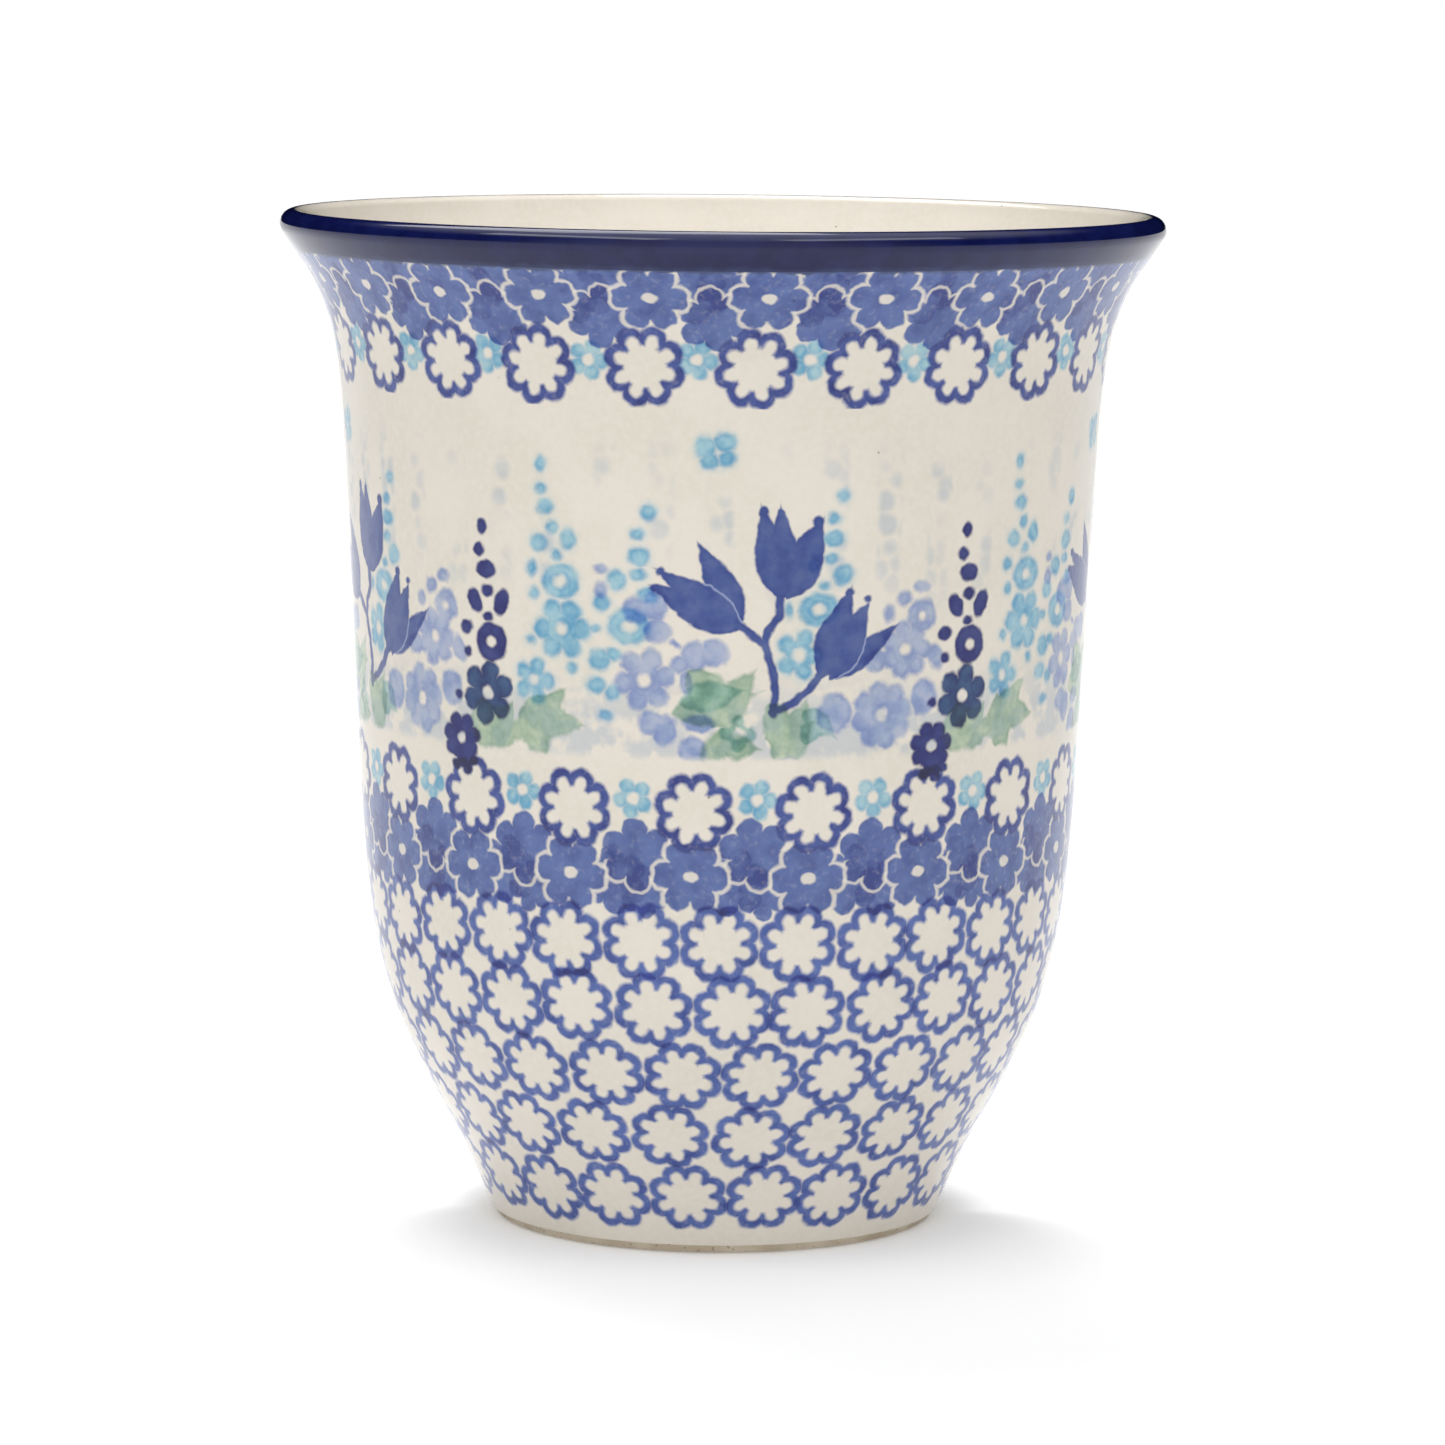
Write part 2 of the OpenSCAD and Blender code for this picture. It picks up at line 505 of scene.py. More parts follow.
@tool()
def posy_row(board, turn, radius, height, count, first, level, rise, seed):
    """Distance to a row of small five-petalled flowers with bare eyes."""
    across, up, luck = stamp(board, turn, radius, height, count, first, level, rise, seed, 0.5, 0)
    out, far = fold_petals(board, across, up, luck * 0.6, math.pi / 5)
    return (petal_ring(board, out, far, POSY_OUT) - POSY_R).min(far - POSY_MIDDLE).max(EYE_R - far)


@tool()
def flower_row(board, turn, radius, height, count, first, level, rise, seed):
    """A band of blue flowers with white outlines over more flowers between them: the ink, and its depth."""
    ink = total = line = None
    # Sideways and upwards shift and size of the flowers behind
    for part, (aside, lift, size) in enumerate(((0.6, 2.7, 1), (-1.8, -0.4, 0.95), (1.6, -1.7, 0.72))):
        across, up, luck = stamp(board, turn, radius, height, count, first, level, rise, seed + 10 * part,
                                 0, 0.5)
        across = across - aside
        up = up - lift
        out, far = fold_petals(board, across, up, luck.times_plus(0.5, 0.3), math.pi / 6)
        petals = petal_ring(board, out, far, BACK_OUT * size) - BACK_R * size
        shape = petals.min(far - BACK_MIDDLE * size)
        cover = board.inside(shape, 0.35)
        if part == 0:
            line = board.inside((shape.abs() - 0.18).max(up + 0.6), 0.3)
        ink = ink.max(cover) if ink else cover
        total = total + cover if total else cover
    across, up, luck = stamp(board, turn, radius, height, count, first, level, rise, seed + 40, 0.5, 0)
    out, far = fold_petals(board, across, up, luck.times_plus(0.24, -0.12), math.pi / 6)
    shape = (petal_ring(board, out, far, LOBE_OUT) - LOBE_R).max(out - LOBE_END).min(far - FLOWER_MIDDLE)
    clear = board.inside(shape - 0.45, 0.4).times_plus(-0.8, 1)
    eye = board.inside(board.hypot(across * 0.78, up) - EYE_R, 0.3)
    ink = (line.times_plus(-0.74, 1) * ink * clear).max(board.inside(shape, 0.4))
    return ink * eye.times_plus(-0.9, 1), (total - 1).max(0) * clear


# ---------------------------------------------------------------- marks of the garden

# Millimetres round the wall for each degree, at the garden's height
ROUND = math.radians(1) * 44
# A distance at which nothing is painted
FAR_OFF = 99


def axes(x, y, width, height, tilt=0):
    """The two vectors that turn a point of the garden into a mark's own coordinates, in units of its size."""
    c, s = math.cos(math.radians(tilt)), math.sin(math.radians(tilt))
    x *= ROUND
    along = (c / width, s / width, -(c * x + s * y) / width)
    over = (-s / height, c / height, (s * x - c * y) / height)
    return along, over


@tool("point", "along", "over")
def oval(board, point, along, over, size, nearest):
    """Distance to an oval of a size, or the nearest so far."""
    far = board.hypot(board.dot(point, along), board.dot(point, over))
    return far.times_plus(size, size * -1).min(nearest)


@tool("point", "along", "over")
def leaf(board, point, along, over, half_width, nearest):
    """Distance to a pointed petal or leaf, fullest nearer its base, or the nearest so far."""
    s, t = board.dot(point, along), board.dot(point, over)
    bulge = s * (1 - s) * s.times_plus(-4, 6).max(1)
    return ((t.abs() - bulge) * half_width).min(nearest)


@tool("point", "along", "over")
def stroke(board, point, along, over, length, half_width, nearest):
    """Distance to a straight brush stroke, or the nearest so far."""
    s, t = board.dot(point, along), board.dot(point, over)
    return (board.hypot(s - s.max(0).min(length), t) - half_width).min(nearest)


@tool("point", "along", "over")
def blossom(board, point, along, over, share, size, eye, nearest):
    """Distance to a flower with round petals and a bare eye, or the nearest so far."""
    out, far = fold_petals(board, board.dot(point, along), board.dot(point, over), 0, share)
    petals = (petal_ring(board, out, far, 0.66) - 0.36).min(far - 0.62) * size
    return petals.max(eye - far * size).min(nearest)


# The garden goes round in four wide panels and one narrow panel at the back, which closes the ring
WIDE_PANELS = 4
PANEL = 77
PANEL_START = -32.5
# The narrow panel shows the marks that lie this far on in a wide one, in degrees
NARROW_SHIFT = 18
# Marks of the wide panels alone are this many millimetres away from the narrow one
OUT_OF_SIGHT = 999
# Stamps of the lower and the upper border round the mug, and how far the lower ones sway, in degrees
LOWER_COUNT, UPPER_COUNT = 19, 23
SWAY = 1.17

# Ovals: angle, height, width, tallness and tilt
TALL_SPIRE = [(-27, 93.2, 1.3, 1.6), (-27, 90.5, 1.4, 1.2), (-26.3, 88.4, 2.0, 1.8),
              (-25.3, 86.1, 1.5, 1.5), (-27.5, 84.3, 2.2, 1.9, -20), (-22.7, 84.8, 2.0, 2.4),
              (-24.6, 83, 1.4, 1.2), (-28.7, 81.4, 1.4, 1.6), (-28.4, 78.5, 1.2, 1.3),
              (-29, 73.2, 1.3, 1.2), (-22.3, 70.3, 1.2, 1.3), (-18.8, 74.9, 1.6, 1.0)]
SECOND_SPIRE = [(-10.4, 88.2, 1.8, 1.9), (-12, 85.7, 1.6, 1.3), (-11.8, 83.2, 2.5, 2.2),
                (-12, 81.1, 1.9, 1.3), (-15.2, 80.4, 2.3, 2.2), (-17.6, 77.8, 2.0, 1.9),
                (-10.5, 78.8, 2.2, 1.8), (-17.9, 71.3, 2.6, 2.4), (-15.8, 71.9, 1.8, 1.4),
                (-18.5, 68.4, 2.3, 2.0), (-15.8, 67.6, 1.7, 1.6), (-17, 65, 1.6, 1.1)]
THIRD_SPIRE = [(18.2, 90.1, 1.5, 1.4), (16.8, 87.6, 1.5, 1.3), (16.9, 85.3, 2.6, 1.8), (16.5, 83.1, 1.7, 1.3),
               (18.5, 81.2, 2.4, 2.3), (15.5, 80, 1.3, 1.0), (14, 82.4, 1.3, 2.0), (10.3, 77.3, 0.9, 1.5)]
PANSY = [(-2.2, 95.6, 2.3, 2.6), (0.6, 96.2, 2.4, 2.3), (-1.5, 94.1, 2.2, 1.9), (0.9, 94.4, 2.0, 2.0)]
NAVY_SPIRE = [(39.4, 85.7, 1.5, 1.8), (38.8, 83, 1.6, 1.6), (40, 80.8, 2.8, 2.1), (40.2, 78.4, 1.9, 1.5),
              (37.8, 77.1, 2.0, 3.1, 28), (42.7, 77.1, 2.1, 3.3, -18), (40.2, 75.3, 1.5, 1.1),
              (35.9, 74, 2.0, 1.7, 15), (36.1, 71.2, 1.3, 1.3), (34, 66.1, 1.3, 1.1)]
LAVENDER_LEFT = [(-17.6, 81.6, 1.4, 1.1), (-17.6, 79.3, 1.6, 1.8), (-12.2, 77, 3, 3.2, 20),
                 (-9.4, 77.6, 3, 3.6), (-9.2, 74.8, 3.2, 2.6), (-3.6, 72, 3.2, 3.4),
                 (-0.6, 72.4, 3.4, 3.2), (-6.3, 73.3, 1.8, 0.8, -35),
                 (-10, 64.3, 3.4, 2.8), (-8, 63.4, 2.8, 3.6), (-3.7, 61.2, 3.4, 3.2), (-3, 64.3, 3.4, 2),
                 (-4.8, 69, 1.4, 3), (-5.6, 71, 2.4, 2.2)]
LAVENDER_RIGHT = [(31.2, 79.6, 2.0, 1.6), (28.5, 78.3, 2.0, 1.9), (26, 76.6, 1.5, 1.7),
                  (34.3, 71.4, 2.0, 3.2, 25), (24, 71.3, 3.4, 2.4), (17.6, 65.4, 4.2, 4.6),
                  (32.4, 66.8, 3.6, 4.0), (10, 59.9, 2.4, 0.9, 15)]
# Flowers: angle, height, width, tallness, petals, width of the eye and tilt. A ring's petals are too many
# to be seen
RING = 40
SKY_FLOWERS = [(-24, 80, 4.6, 3.9, RING, 1.5), (-13.4, 75.2, 4.8, 4.0, RING, 1.5),
               (-23.9, 74.6, 7.0, 7.0, 6, 1.4), (-28.7, 68.5, 5.2, 5.4, 5, 1.3)]
THIRD_FLOWERS = [(14.8, 77.3, 4.6, 3.8, RING, 1.5), (12, 72.1, 5.4, 5.8, 5, 1.7)]
LAVENDER_FLOWER = [(-11, 69.2, 7.0, 7.2, 6, 1.6, 10)]
LAVENDER_FLOWERS = [(31.6, 76.2, 3.8, 3.8, RING, 0.9), (29, 72.4, 6.6, 6.6, 7, 1.3),
                    (25.3, 65, 7.6, 7.8, 8, 1.5, 12)]
NAVY_RING = [(40.8, 72.5, 4.4, 4.5, RING, 1.3)]
NAVY_FLOWERS = [(34.2, 61.1, 6.0, 5.8, 7, 1.3, 10), (34.6, 58.6, 4.4, 3.6, 5, 0)]
DARK_FLOWER = [(39.8, 66.6, 7.4, 7.4, 6, 1.5, 20)]
TEAL_FLOWER = [(3, 63.2, 4.2, 4.0, 4, 1.3)]
# Leaves and petals: base, tip and half width
LEAF_LEFT = [((-31.5, 64.5), (-20.4, 63.6), 2.1), ((-29.6, 66.5), (-27.3, 58.8), 2.2),
             ((-31, 61.8), (-23.4, 67.8), 2.2), ((-33.5, 63), (-30, 62), 1.2)]
LEAF_RIGHT = [((37, 62), (47.5, 63.6), 2.4), ((38.6, 66), (41, 58), 2.4), ((41, 60.5), (47, 66.6), 2.0)]
LEAF_MIDDLE = [((-6.8, 65.4), (6, 68), 2.0), ((-4.5, 70.4), (3, 64), 2.2), ((-1, 64), (5.6, 70.6), 2.0),
               ((0, 62), (6.4, 61.4), 1.5), ((-2.5, 59), (3, 65), 1.4)]
LEAF_FOOT = [((7, 62.5), (14.5, 64.5), 2.4), ((9, 59.6), (13.4, 67), 2.2), ((7.4, 66.8), (11.8, 60.2), 1.8)]
LEAF_DARK = [((12.6, 65.8), (17.8, 62.6), 1.4), ((13, 62), (15.6, 66), 1.2), ((-6, 66.8), (4, 68.2), 1.7)]
BELLS = [((9.2, 78.4), (6.0, 89.2), 2.0), ((9.4, 78.4), (8.8, 89.2), 2.0), ((9.8, 78.4), (15.2, 87.8), 2.2),
         ((3.4, 75.2), (-10.2, 80.0), 2.1), ((3.4, 75.6), (-9.6, 81.9), 1.7),
         ((15.3, 69.4), (19.9, 79.9), 2.1), ((16.6, 69.2), (22.6, 78.2), 2.0)]
BELL_TIPS = [(22.4, 78.4, 0.9, 0.8), (6.3, 88.4, 1.1, 1.3), (8.8, 88.2, 0.9, 1.2), (14.5, 87.2, 1.3, 1.4),
             (-9.4, 79.7, 1.2, 0.9), (-8.7, 81.5, 1.1, 1.0), (19.5, 79.2, 1.1, 1.1)]
BELL_FOLDS = [((3.4, 75.6), (-3.2, 85.0), 1.8), ((17, 69.4), (27.6, 75.5), 1.4)]
STEMS = [[(8.2, 65.4), (8.5, 68), (8, 70.5), (6.7, 73.3), (4.3, 74.8), (2.5, 75.9)],
         [(6.7, 73.3), (7.3, 75), (9, 76.6), (8.9, 79)], [(8, 65.6), (11, 66.6), (13.6, 68.2), (15.6, 70.4)]]


class Decoration(Paint):
    """Painted glaze: a cream ground with the stamps and brush marks of the pattern."""

    def __init__(self, name):
        super().__init__(name)
        across, up, _ = self.wander(1.1, 0.26)
        self.turn = across.times_plus(1.3, self.turn)
        self.height = self.height + up
        self.swayed = (self.turn * math.radians(1)).sin().times_plus(SWAY, self.turn)
        self.wash = self.noise(2.2, 3)
        self.grain = self.ramp(self.noise(0.7, 1, 31), 0.1, 0.5, 0.86, 1)
        # Points of the garden: round the wall, up it, and 1
        far = (self.turn - PANEL_START + PANEL) % 360
        number = (far / PANEL).floor()
        local = number.times_plus(-PANEL, far + PANEL_START)
        narrow = number.above(WIDE_PANELS - 0.5)
        wide_place = narrow.times_plus(OUT_OF_SIGHT, local * ROUND)
        self.wide = self.node("CombineXYZ", wide_place, self.height, 1).outputs[0]
        every_place = narrow.times_plus(NARROW_SHIFT, local) * ROUND
        self.every = self.node("CombineXYZ", every_place, self.height, 1).outputs[0]

    def wet(self, colour, distance, tints, edge=0.4, least=0.8):
        """Watery ink: soft at its edge, uneven inside and darker where it pooled."""
        pooled = self.ramp(distance, -0.9, -0.05, 0, 0.16)
        depth = self.ramp(self.wash + pooled, 0.35, 0.85)
        cover = self.inside(distance, edge) * self.ramp(self.wash, 0.15, 0.6, least, 1)
        return self.ink(colour, self.blend(*tints, depth), cover)

    def row(self, kind, turn, count, first, level, seed, flip=1):
        rise = flip / math.cos(lean(level))
        return kind(self, turn, self.radius, self.height, count, first, level, rise, seed)

    def lay_florets(self, colour, row, tints):
        """Draws a row's scalloped lines, darker where two stamps meet and where the ink has pooled."""
        line, total, _ = row
        depth = self.ramp(total.times_plus(0.35, self.wash), 0.6, 1.2)
        return self.ink(colour, self.blend(*tints, depth), line * self.grain)

    def lay_flowers(self, colour, flowers, florets):
        """Draws a band of blue flowers up to the florets' edges."""
        ink, overlap = flowers
        depth = self.ramp(overlap.times_plus(0.22, self.wash), 0.3, 1)
        return self.ink(colour, self.blend(*BLUE_WASH, depth), (ink - florets[2]).max(0) * self.grain)

    def lower_band(self, colour):
        florets = self.row(floret_row, self.swayed, LOWER_COUNT, -3.9, 54.3, 21)
        colour = self.wet(colour, self.row(posy_row, self.swayed, LOWER_COUNT, 6, 55.5, 22), SKY, 0.6)
        flowers = self.row(flower_row, self.swayed, LOWER_COUNT, -4.3, 46.5, 23)
        colour = self.lay_flowers(colour, flowers, florets)
        return self.lay_florets(colour, florets, LINE_BLUE)

    def upper_band(self, colour):
        florets = self.row(floret_row, self.turn, UPPER_COUNT, 4.6, 104.5, 1)
        colour = self.wet(colour, self.row(posy_row, self.turn, UPPER_COUNT, 12.4, 105.4, 2), SKY, 0.6)
        flowers = self.row(flower_row, self.turn, UPPER_COUNT, 6.2, 112.5, 3, flip=-1)
        colour = self.lay_flowers(colour, flowers, florets)
        return self.lay_florets(colour, florets, LINE_BLUE)

    def field_rows(self, colour, rows):
        for seed, (level, count, first) in rows:
            florets = self.row(floret_row, self.turn, count, first, level, seed)
            colour = self.lay_florets(colour, florets, FIELD_BLUE)
        return colour

    def ovals(self, point, marks, nearest=FAR_OFF):
        for x, y, width, height, *tilt in marks:
            along, over = axes(x, y, width / 2, height / 2, *tilt)
            nearest = oval(self, point, along, over, (width + height) / 4, nearest)
        return nearest

    def leaves(self, point, marks, nearest=FAR_OFF):
        for (x0, y0), (x1, y1), half_width in marks:
            dx, dy = (x1 - x0) * ROUND, y1 - y0
            along, over = axes(x0, y0, math.hypot(dx, dy), half_width, math.degrees(math.atan2(dy, dx)))
            nearest = leaf(self, point, along, over, half_width, nearest)
        return nearest

    def strokes(self, point, lines, half_width, nearest=FAR_OFF):
        for points in lines:
            for (x0, y0), (x1, y1) in zip(points, points[1:]):
                dx, dy = (x1 - x0) * ROUND, y1 - y0
                along, over = axes(x0, y0, 1, 1, math.degrees(math.atan2(dy, dx)))
                nearest = stroke(self, point, along, over, math.hypot(dx, dy), half_width, nearest)
        return nearest

    def blossoms(self, point, marks, nearest=FAR_OFF):
        for x, y, width, height, petals, eye, *tilt in marks:
            along, over = axes(x, y, width / 2, height / 2, *tilt)
            size = (width + height) / 4
            nearest = blossom(self, point, along, over, math.pi / petals, size, eye / 2, nearest)
        return nearest

    def navy_flowers(self, colour):
        """The two dark flowers at the foot of the navy spire."""
        colour = self.wet(colour, self.blossoms(self.wide, NAVY_FLOWERS), NAVY, 0.5, 0.97)
        return self.wet(colour, self.blossoms(self.wide, DARK_FLOWER), DARK_TEAL, 0.5, 0.97)


# ---------------------------------------------------------------- glazes


def finish_glaze(paint, colour, low=0.07, high=0.16, ripple=0.03):
    """Gloss, fine ripples and the colour of a glaze."""
    paint.feed(paint.shader.inputs["Base Color"], colour)
    paint.feed(paint.shader.inputs["Roughness"], paint.ramp(paint.noise(4, 3, 11), 0.3, 0.7, low, high))
    height = paint.noise(1.1, 2, 83).times_plus(0.05, paint.noise(7, 2, 57))
    bump = paint.node("Bump", 1.0, ripple * MM)
    paint.feed(bump.inputs["Height"], height)
    paint.feed(paint.shader.inputs["Normal"], bump.outputs[0])
    return paint.material


def cream(paint):
    """The bare ground: warm cream, faintly mottled, with a few dark specks."""
    patch = paint.ramp(paint.noise(9, 3, 5), 0.35, 0.65)
    ground = paint.blend(linear(*CREAM), linear(224, 217, 203), patch)
    fine = paint.ramp(paint.noise(0.8, 2, 17), 0.35, 0.7, 0, 0.5)
    ground = paint.blend(ground, linear(232, 225, 213), fine)
    cells = paint.node("TexVoronoi", paint.place, None, 0.14)
    speck = paint.inside(Num(paint, cells.outputs["Distance"]) * 7 - 0.16, 0.14)
    return paint.blend(ground, linear(150, 138, 122), speck * 0.7)


def plain_glaze(name):
    paint = Paint(name)
    return finish_glaze(paint, cream(paint))


def cobalt_glaze(name):
    """Deep blue over the lip, thin and paler at its lower edge with a painted reflection of the floor there,
    and cream again inside the crest.
    """
    paint = Paint(name)
    paint.shader.inputs["IOR"].default_value = 1.45
    blue = paint.blend(COBALT, COBALT_DEEP, paint.ramp(paint.noise(3, 3), 0.3, 0.7))
    # Paler at the lower edge: the cobalt runs thin there, and a painted reflection of the floor lightens it
    thin = paint.ramp(paint.noise(2.5, 2, 9) + paint.height, RIM_Z + 1.2, RIM_Z + 0.2, 0, 0.55)
    blue = paint.blend(blue, COBALT_THIN, thin)
    crest = paint.ramp(paint.noise(4, 2, 3).times_plus(0.3, paint.radius), LIP_X + 0.1, LIP_X - 0.35)
    return finish_glaze(paint, paint.blend(blue, cream(paint), crest), 0.05, 0.1)


def upper_border_glaze(name):
    paint = Decoration(name)
    colour = paint.upper_band(cream(paint))
    # The cobalt's paler lower edge reaches over the border's top: thin glaze, with a painted reflection of
    # the floor
    cobalt = paint.ramp(paint.noise(2.5, 2, 9).times_plus(0.7, paint.height), RIM_Z, RIM_Z + 0.35)
    return finish_glaze(paint, paint.blend(colour, COBALT_THIN, cobalt))


# Height, number and first angle of each row in the field, top to bottom
FIELD_ROWS = [(38.8, 29, 0.5), (31, 28, 2.5), (23, 26, 8), (15, 23, 7), (7.1, 21, -6)]


def lower_border_glaze(name):
    paint = Decoration(name)
    colour = paint.lower_band(paint.navy_flowers(cream(paint)))
    return finish_glaze(paint, paint.field_rows(colour, [(51, FIELD_ROWS[0])]))


def field_glaze(name):
    paint = Decoration(name)
    colour = paint.lower_band(cream(paint))
    return finish_glaze(paint, paint.field_rows(colour, enumerate(FIELD_ROWS, 51)))


def foot_band_glaze(name):
    paint = Decoration(name)
    return finish_glaze(paint, paint.field_rows(cream(paint), [(55, FIELD_ROWS[4])]))


def ghost_garden(paint, colour):
    """Very faint spires and blots behind the flowers."""
    cells = paint.node("TexVoronoi", paint.place, None, 0.42)
    blot = paint.inside(Num(paint, cells.outputs["Distance"]) - 0.5, 0.4)
    column = paint.ramp((paint.turn * math.radians(360 / 8.5)).cos(), -0.3, 0.7)
    spires = paint.ramp(paint.height, 74, 86) * paint.ramp(paint.height, 98, 90) * column * blot
    spires = spires * paint.ramp(paint.noise(9, 1, 7), 0.4, 0.6)
    low = paint.ramp(paint.height, 71, 64) * paint.ramp(paint.noise(2.6, 2, 77), 0.38, 0.56)
    fade = paint.ramp(paint.height, GARDEN_Z + 0.2, GARDEN_Z + 1.6)
    return paint.ink(colour, ink_of(202, 203, 202), spires.max(low) * fade)


def garden_glaze(name):
    paint = Decoration(name)
    wide, every = paint.wide, paint.every
    colour = ghost_garden(paint, cream(paint))
    rough = paint.noise(1.6, 2, 23).times_plus(0.9, -0.45)
    # Soft flowers and leaves
    lavender = paint.ovals(every, LAVENDER_RIGHT, paint.ovals(wide, LAVENDER_LEFT))
    lavender = paint.blossoms(every, LAVENDER_FLOWERS, paint.blossoms(wide, LAVENDER_FLOWER, lavender))
    # What stands lowest ends above the border
    foot = GARDEN_Z + 0.8 - paint.height
    colour = paint.wet(colour, rough.times_plus(0.9, lavender.max(foot)), LAVENDER, 0.8)
    green = paint.leaves(every, LEAF_FOOT + LEAF_MIDDLE, paint.leaves(wide, LEAF_LEFT + LEAF_RIGHT))
    colour = paint.wet(colour, green.max(foot) + rough, GREEN, 0.7)
    teal = paint.blossoms(every, TEAL_FLOWER, paint.leaves(every, LEAF_DARK))
    colour = paint.wet(colour, teal + rough, TEAL, 0.6)
    # Light-blue spires with pale halos
    sky = paint.ovals(every, THIRD_SPIRE + PANSY, paint.ovals(wide, TALL_SPIRE + SECOND_SPIRE))
    sky = paint.blossoms(every, THIRD_FLOWERS, paint.blossoms(wide, SKY_FLOWERS, sky))
    colour = paint.ink(colour, SKY[0], paint.ramp(sky, 0.9, 0, 0, 0.25))
    colour = paint.wet(colour, rough.times_plus(0.6, sky), SKY, 0.8)
    # Bellflowers on one stem
    bells = paint.leaves(every, BELLS, paint.strokes(every, STEMS, 0.48))
    bells = paint.ovals(every, BELL_TIPS, bells)
    folds = paint.leaves(every, BELL_FOLDS)
    gap = paint.inside((bells.abs() - 0.12).max(folds), 0.2)
    colour = paint.wet(colour, bells.min(folds), TULIP, 0.4, 0.95)
    colour = paint.blend(colour, linear(150, 160, 196), gap * 0.8)
    # Navy spire
    navy = paint.blossoms(wide, NAVY_RING, paint.ovals(wide, NAVY_SPIRE))
    colour = paint.wet(colour, navy, NAVY, 0.5, 0.97)
    return finish_glaze(paint, paint.navy_flowers(colour))


def bare_clay(name):
    """Unglazed stoneware: warm grey-buff, sandy and matt."""
    paint = Paint(name)
    clay = paint.blend(linear(212, 200, 180), linear(190, 175, 153), paint.ramp(paint.noise(5, 4), 0.3, 0.7))
    cells = paint.node("TexVoronoi", paint.place, None, 1.3)
    grit = paint.inside(Num(paint, cells.outputs["Distance"]) - 0.16, 0.12)
    clay = paint.blend(clay, linear(112, 96, 80), grit * 0.6)
    paint.feed(paint.shader.inputs["Base Color"], clay)
    paint.feed(paint.shader.inputs["Roughness"], paint.ramp(paint.noise(0.6, 3, 4), 0.2, 0.8, 0.7, 0.92))
    bump = paint.node("Bump", 1.0, 0.08 * MM)
    paint.feed(bump.inputs["Height"], paint.noise(0.5, 3))
    paint.feed(paint.shader.inputs["Normal"], bump.outputs[0])
    return paint.material


# ---------------------------------------------------------------- pieces


def add_coat(node, piece_name, slot, face, back, rows, material):
    piece = turned_piece(piece_name, face, back, rows)
    piece.data.materials.append(material)
    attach(piece, "root")
    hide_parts(node)
    return piece


def wall_coat(node, piece_name, slot, low, high, rows, material):
    """A coat on the outer wall between two heights."""
    face, back = outer_line(low, high), outer_line(low, high, GLAZE, 2.5)
    return add_coat(node, piece_name, slot, face, back, rows, material)


def build_mug():
    wall_coat("foot_band", "foot_glaze", "foot_glaze", GLAZE_LINE, FIELD_Z, 8, foot_band_glaze("foot glaze"))
    wall_coat("floret_field", "floret_glaze", "florets", FIELD_Z, LOWER_Z, 3, field_glaze("floret field"))
    wall_coat("lower_border", "lower_border_glaze", "lower_border", LOWER_Z, GARDEN_Z, 5,
              lower_border_glaze("lower border"))
    wall_coat("garden_band", "garden_glaze", "garden", GARDEN_Z, UPPER_Z, 3, garden_glaze("garden"))
    wall_coat("upper_border", "upper_border_glaze", "upper_border", UPPER_Z, RIM_Z, 5,
              upper_border_glaze("upper border"))
    lip_face = outer_line(RIM_Z, LIP_START[0]) + lip_line()[1:]
    lip_back = outer_line(RIM_Z, LIP_START[0], GLAZE, 1) + lip_line(GLAZE, 12)[1:]
    add_coat("rim_band", "cobalt_rim", "cobalt_rim", lip_face, lip_back, 8, cobalt_glaze("cobalt"))
    add_coat("inside_glaze", "inner_glaze", "cream_glaze", inside_line(), inside_line(GLAZE, 2.5, 10), 2,
             plain_glaze("inner glaze"))
    add_coat("base_glaze", "recess_glaze", "base_glaze", recess_line(), recess_line(GLAZE), 2,
             plain_glaze("recess glaze"))
    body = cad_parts["stoneware_body"]
    body.data.materials.clear()
    body.data.materials.append(bare_clay("fired clay"))


# ---------------------------------------------------------------- floor, light and camera

CAMERA_DISTANCE = 0.735
CAMERA_HEIGHT = 0.1516
CAMERA_PITCH = math.radians(-7.177)
CAMERA_ROLL = math.radians(0.56)
CAMERA_ASIDE = 0.0005
LENS = 154.3
WALL_GLOW = 0.8
CEILING_GLOW = 1.62
# The floor's glow all round, close to the foot, further out, and at the far end of the strip
FLOOR_GLOW = 0.2
RING_GLOW = 0.5
STRIP_GLOW = 0.22
FAR_GLOW = 0.44
# Where one glow passes into the next: outwards from the foot, and to the back
RING_END = 40, 95
FAR_START = 50, 600
# The strip's soft side, and how fast it widens to the back
STRIP_SIDE = 190, 90
STRIP_SPREAD = 0.13
# The glow starts at the foot's edge and is whole at the shade's end, further out in front of the mug
FOOT_EDGE = 27
SHADE_END = 35
SHADE_IN_FRONT = 110


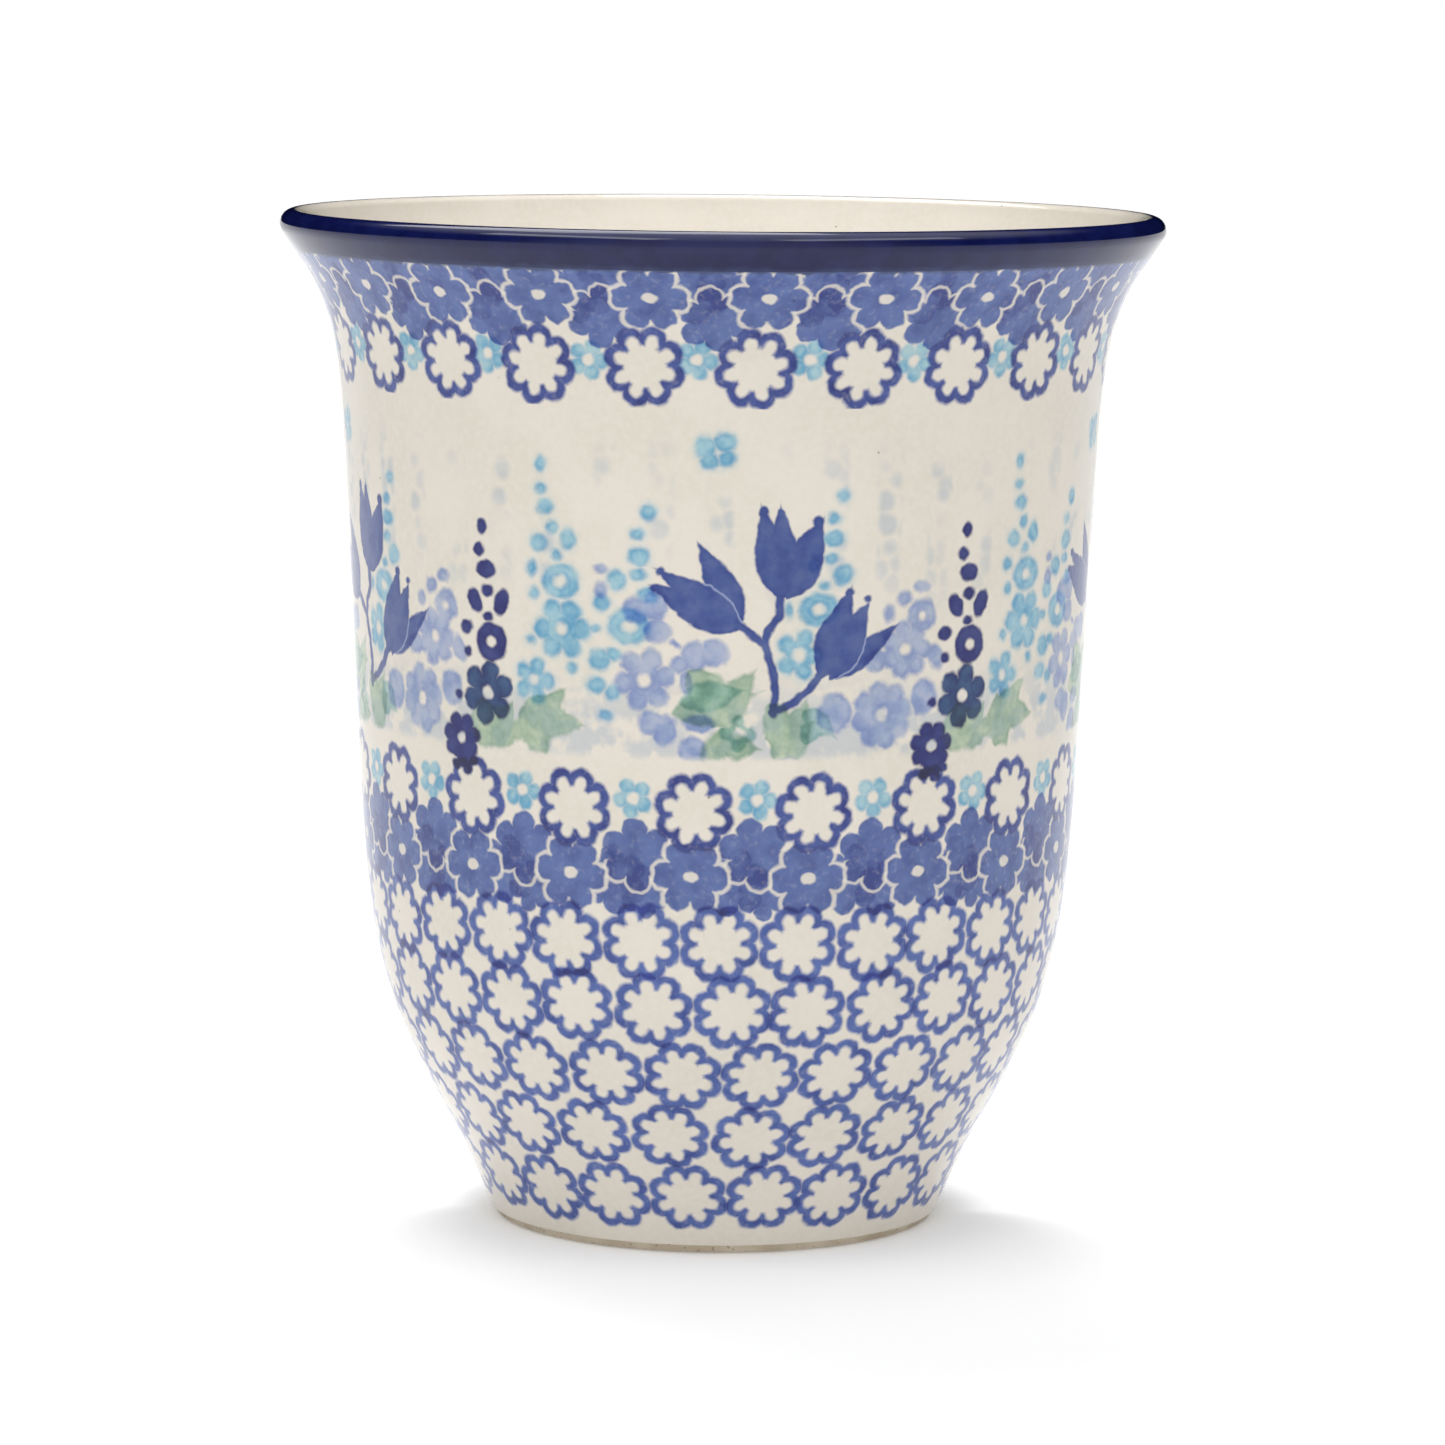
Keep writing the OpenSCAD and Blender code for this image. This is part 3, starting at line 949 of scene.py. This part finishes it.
def add_floor():
    """White paper under the mug. It glows most round the foot and in a strip that widens to the back."""
    bm = bmesh.new()
    bmesh.ops.create_grid(bm, x_segments=1, y_segments=1, size=30)
    bmesh.ops.translate(bm, verts=bm.verts, vec=(0, 0, CAD_LOW.z - 0.0001))
    mesh = bpy.data.meshes.new("floor")
    bm.to_mesh(mesh)
    bm.free()
    floor = bpy.data.objects.new("floor", mesh)
    bpy.context.scene.collection.objects.link(floor)
    paint = Paint("white paper")
    inputs = paint.shader.inputs
    inputs["Base Color"].default_value = (0.8, 0.8, 0.8, 1)
    inputs["Roughness"].default_value = 0.9
    inputs["Specular IOR Level"].default_value = 0.1
    inputs["Emission Color"].default_value = (1, 1, 1, 1)
    x, y, _ = [Num(paint, s) for s in paint.node("SeparateXYZ", paint.place).outputs]
    shade_end = (y / paint.radius).times_plus(-SHADE_IN_FRONT, SHADE_END).max(SHADE_END)
    near = paint.ramp(paint.radius, *RING_END, RING_GLOW, STRIP_GLOW)
    glow = near.max(paint.ramp(y, *FAR_START, 0, FAR_GLOW)) - FLOOR_GLOW
    lit = paint.ramp(paint.radius, FOOT_EDGE, shade_end)
    strip = paint.ramp(x.abs() - y * STRIP_SPREAD, *STRIP_SIDE) * lit
    paint.feed(inputs["Emission Strength"], strip.times_plus(glow, FLOOR_GLOW))
    mesh.materials.append(paint.material)
    floor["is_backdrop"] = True


def add_softbox(name, around, above, width, tallness, power):
    """A light panel a metre from the mug and facing it, at an angle round it and above it."""
    light = bpy.data.lights.new(name, "AREA")
    light.shape = "RECTANGLE"
    light.size = width
    light.size_y = tallness
    light.energy = power
    box = bpy.data.objects.new(name, light)
    around, above = math.radians(around), math.radians(above)
    side = Vector((math.sin(around) * math.cos(above), -math.cos(around) * math.cos(above), math.sin(above)))
    box.location = (CAD_LOW + CAD_HIGH) / 2 + side
    box.rotation_euler = side.to_track_quat("Z", "Y").to_euler()
    bpy.context.scene.collection.objects.link(box)


def add_world():
    """A dark room with a bright ceiling and a bright wall behind the camera."""
    world = bpy.data.worlds.new("studio")
    bpy.context.scene.world = world
    world.use_nodes = True
    board = Board(world.node_tree)
    back = board.tree.nodes["Background"]
    back.inputs["Color"].default_value = (1, 1, 1, 1)
    place = board.node("TexCoord").outputs["Generated"]
    _, depth, above = [Num(board, s) for s in board.node("SeparateXYZ", place).outputs]
    wall = board.ramp(depth, -0.4, -0.98, 0, WALL_GLOW)
    board.feed(back.inputs["Strength"], board.ramp(above, 0.5, 1, 0, CEILING_GLOW) + wall)


def add_camera():
    camera = bpy.data.cameras.new("camera")
    camera.lens = LENS
    camera.sensor_width = 36
    camera.clip_start = 0.01
    holder = bpy.data.objects.new("camera", camera)
    look = Matrix.Rotation(math.pi / 2 + CAMERA_PITCH, 4, "X") @ Matrix.Rotation(CAMERA_ROLL, 4, "Z")
    place = Matrix.Translation((CAMERA_ASIDE, -CAMERA_DISTANCE, CAD_LOW.z + CAMERA_HEIGHT))
    holder.matrix_world = place @ look
    bpy.context.scene.collection.objects.link(holder)
    bpy.context.scene.camera = holder


def save_sizes():
    boxes = {"cad": (CAD_LOW, CAD_HIGH), "visual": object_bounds()}


add_camera()
build_mug()
add_floor()
add_softbox("left softbox", -50, 54, 0.7, 0.2, 1.7)
add_softbox("right softbox", 50, 54, 0.7, 0.2, 1.3)
add_softbox("back softbox", -160, 60, 0.6, 0.6, 3.8)
add_world()
bpy.context.scene.view_settings.view_transform = "Standard"
save_sizes()
